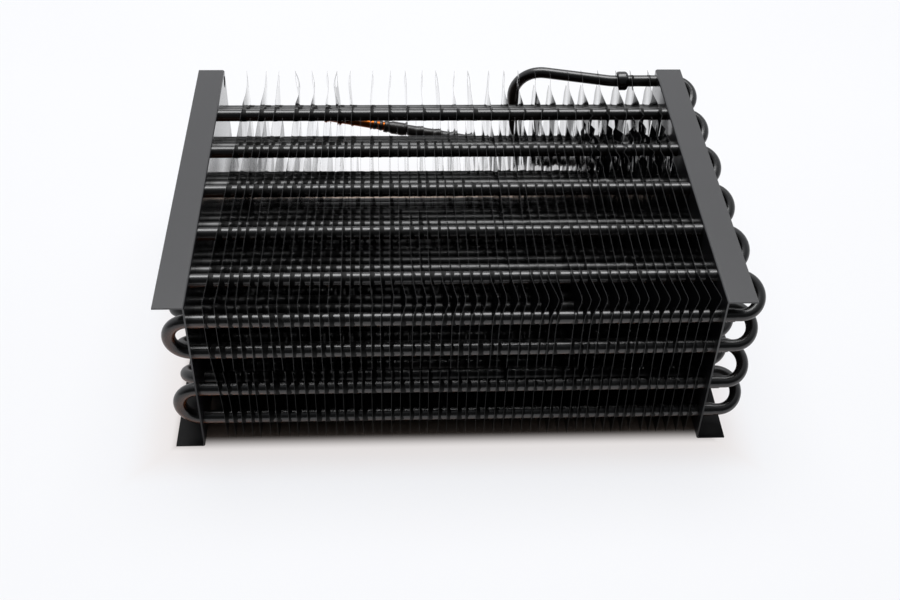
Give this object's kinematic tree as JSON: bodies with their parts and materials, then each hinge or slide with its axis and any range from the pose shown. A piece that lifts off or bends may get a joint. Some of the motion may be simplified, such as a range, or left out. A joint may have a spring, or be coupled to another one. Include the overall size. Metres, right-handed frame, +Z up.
{
  "type": "evaporator coil",
  "caption": "Finned tube evaporator coil: staggered hairpin tubes through two banks of plate fins between folded end plates, with a suction line that ends in a bare copper tail.",
  "frame": {"origin": "middle of the coil's overall box, on the surface that it stands on", "axes": "+X along the tubes towards the return bends, +Y from the bare front towards the pipe connections at the back, +Z up"},
  "size_m": [0.3619, 0.2686, 0.1183],
  "materials": {
    "plate": "satin black coating",
    "tube": "gloss black coating",
    "fin": "semi-gloss black coating",
    "copper": "bare copper, worn"
  },
  "bodies": {
    "root": {"inlet_coupling": "tube", "inlet_line": "tube", "inlet_stub": "tube", "left_end_plate": "plate", "lower_front_hairpin": "tube", "lower_long_fins": "fin", "lower_short_fins": "fin", "rear_hairpin": "tube", "right_end_plate": "plate", "row_1_hairpin_1": "tube", "row_1_hairpin_2": "tube", "row_1_hairpin_3": "tube", "row_1_hairpin_4": "tube", "row_1_hairpin_5": "tube", "row_1_return_bend_1": "tube", "row_1_return_bend_2": "tube", "row_1_return_bend_3": "tube", "row_1_return_bend_4": "tube", "row_1_return_bend_5": "tube", "row_1_return_bend_6": "tube", "row_2_hairpin_1": "tube", "row_2_hairpin_2": "tube", "row_2_hairpin_3": "tube", "row_2_hairpin_4": "tube", "row_2_hairpin_5": "tube", "row_2_return_bend_1": "tube", "row_2_return_bend_2": "tube", "row_2_return_bend_3": "tube", "row_2_return_bend_4": "tube", "row_2_return_bend_5": "tube", "row_2_return_bend_6": "tube", "row_3_hairpin_1": "tube", "row_3_hairpin_2": "tube", "row_3_hairpin_3": "tube", "row_3_hairpin_4": "tube", "row_3_hairpin_5": "tube", "row_3_return_bend_1": "tube", "row_3_return_bend_2": "tube", "row_3_return_bend_3": "tube", "row_3_return_bend_4": "tube", "row_3_return_bend_5": "tube", "row_3_return_bend_6": "tube", "row_4_hairpin_1": "tube", "row_4_hairpin_2": "tube", "row_4_hairpin_3": "tube", "row_4_hairpin_4": "tube", "row_4_hairpin_5": "tube", "row_4_return_bend_1": "tube", "row_4_return_bend_2": "tube", "row_4_return_bend_3": "tube", "row_4_return_bend_4": "tube", "row_4_return_bend_5": "tube", "row_4_return_bend_6": "tube", "suction_coupling": "tube", "suction_line": "tube", "suction_stub": "tube", "suction_tail": "copper", "upper_front_hairpin": "tube", "upper_long_fins": "fin", "upper_short_fins": "fin"}
  },
  "joints": []
}
